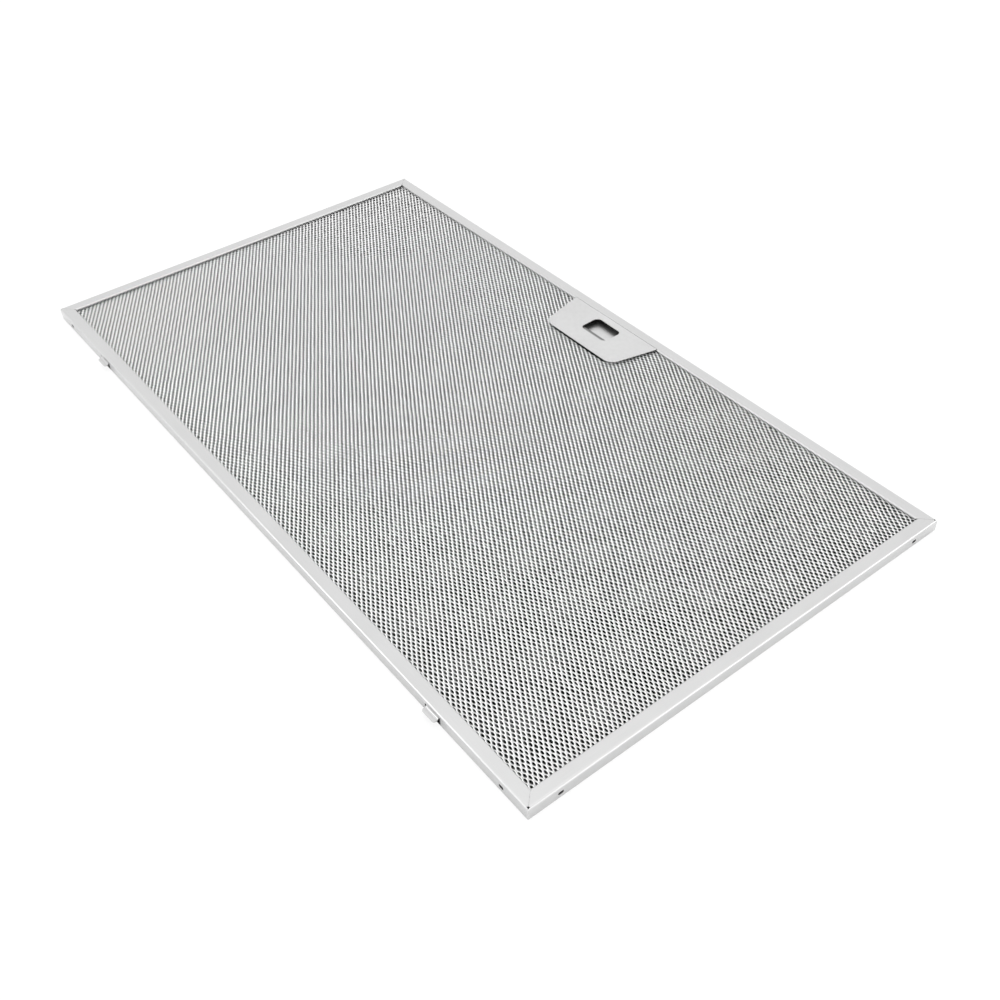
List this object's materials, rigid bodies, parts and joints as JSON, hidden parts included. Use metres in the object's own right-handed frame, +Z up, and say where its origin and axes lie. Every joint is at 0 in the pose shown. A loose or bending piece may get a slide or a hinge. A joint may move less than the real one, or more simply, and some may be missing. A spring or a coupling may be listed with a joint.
{
  "type": "cooker hood grease filter",
  "caption": "Flat rectangular grease filter: mitred aluminium channel frame round crimped and expanded mesh, hook tabs on one side and a sprung slide latch with finger opening on the other.",
  "frame": {"origin": "centre of the underside, on the plane that the filter lies on", "axes": "+X along the long side, +Y from the hook side to the latch side, +Z up through the face with the finger opening"},
  "size_m": [0.458, 0.2656, 0.008],
  "materials": {
    "frame_aluminium": "satin",
    "mesh_aluminium": "bright",
    "inner_mesh_aluminium": "satin",
    "plate_satin": "satin",
    "tray_steel": "satin",
    "slider_zinc": "satin",
    "spring_steel": "bright"
  },
  "bodies": {
    "filter": {"frame": "frame_aluminium", "upper_face_mesh": "mesh_aluminium", "lower_face_mesh": "mesh_aluminium", "inner_mesh_upper": "inner_mesh_aluminium", "inner_mesh_middle": "inner_mesh_aluminium", "inner_mesh_lower": "inner_mesh_aluminium", "latch_plate": "plate_satin", "latch_tray": "tray_steel", "latch_spring_left": "spring_steel", "latch_spring_right": "spring_steel"},
    "slider": {"latch_slider": "slider_zinc"}
  },
  "joints": [
    {"name": "latch_slide", "type": "slide", "parent": "filter", "child": "slider", "axis": [0, -1, 0], "range_m": [0, 0.0035], "stiffness_N_per_m": 400, "deforming": ["latch_spring_left", "latch_spring_right"]}
  ]
}
